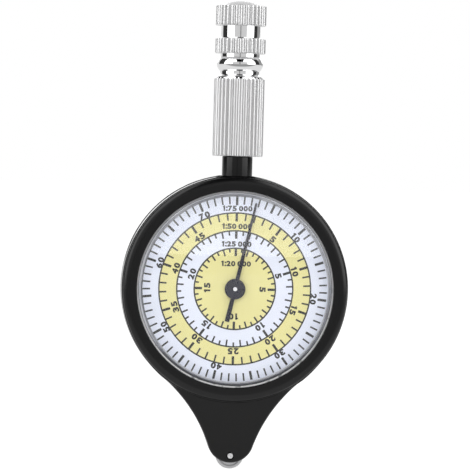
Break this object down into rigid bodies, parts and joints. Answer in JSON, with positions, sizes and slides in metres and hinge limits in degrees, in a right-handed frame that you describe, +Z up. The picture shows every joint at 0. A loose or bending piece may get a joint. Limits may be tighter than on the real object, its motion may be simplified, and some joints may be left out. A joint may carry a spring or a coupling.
{
  "type": "opisometer map measurer",
  "caption": "Hand-held map measurer: a small wheel in the foot drives a pointer over round printed dials through gears, under a knurled metal handle.",
  "frame": {"origin": "the point where the measuring wheel touches the map, under the centre of the object", "axes": "+Z up along the handle, +Y out of the rear dial, +X to the right as seen facing the front dial"},
  "size_m": [0.051, 0.013, 0.1053],
  "materials": {
    "case_black": "moulded, satin black with softly rounded edges",
    "bezel_black": "satin black ring, fine turned grain, edges a little polished",
    "lens_clear": "clear acrylic with a polished bevel",
    "dial_print": "printed disc, white and pale yellow rings with dark scales",
    "pointer_dark": "blue-black enamel",
    "arbor_steel": "polished steel",
    "gear_brass": "cut brass, satin",
    "screw_steel": "turned steel",
    "pin_steel": "bright steel pin",
    "wheel_metal": "turned bright metal",
    "stem_black": "glossy black",
    "handle_aluminium": "turned and straight-knurled, satin bright"
  },
  "bodies": {
    "case": {"front_shell": "case_black", "rear_shell": "case_black", "front_bezel": "bezel_black", "rear_bezel": "bezel_black", "front_lens": "lens_clear", "rear_lens": "lens_clear", "front_dial": "dial_print", "rear_dial": "dial_print", "front_plate": "gear_brass", "rear_plate": "gear_brass", "front_plate_screws": "screw_steel", "rear_plate_screws": "screw_steel", "plate_pillars": "gear_brass", "wheel_axle": "pin_steel", "wheel_spacer": "pin_steel", "case_dowels": "pin_steel", "neck_stem": "stem_black", "stem_nut": "screw_steel", "handle_barrel": "handle_aluminium", "handle_cap": "handle_aluminium"},
    "pointers": {"centre_gear": "gear_brass", "pointer_arbor": "arbor_steel", "front_pointer": "pointer_dark", "rear_pointer": "pointer_dark", "front_pointer_hub": "pointer_dark", "rear_pointer_hub": "pointer_dark"},
    "second_arbor": {"second_gear": "gear_brass", "second_pinion": "arbor_steel"},
    "first_arbor": {"first_gear": "gear_brass", "first_pinion": "arbor_steel"},
    "wheel": {"measuring_wheel": "wheel_metal", "wheel_pinion": "gear_brass"}
  },
  "joints": [
    {"name": "pointer_spin", "type": "hinge", "parent": "case", "child": "pointers", "pos_m": [0, 0, 0.04068], "axis": [0, 1, 0], "continuous": true},
    {"name": "second_arbor_spin", "type": "hinge", "parent": "case", "child": "second_arbor", "pos_m": [0, 0, 0.01818], "axis": [0, 1, 0], "continuous": true},
    {"name": "first_arbor_spin", "type": "hinge", "parent": "case", "child": "first_arbor", "pos_m": [0, 0, 0.00768], "axis": [0, 1, 0], "continuous": true},
    {"name": "wheel_spin", "type": "hinge", "parent": "case", "child": "wheel", "pos_m": [0, 0, 0.00318], "axis": [0, 1, 0], "continuous": true}
  ],
  "couplings": [
    {"joint": "second_arbor_spin", "follows": "pointer_spin", "ratio": -5},
    {"joint": "first_arbor_spin", "follows": "pointer_spin", "ratio": 25},
    {"joint": "wheel_spin", "follows": "pointer_spin", "ratio": -50}
  ]
}
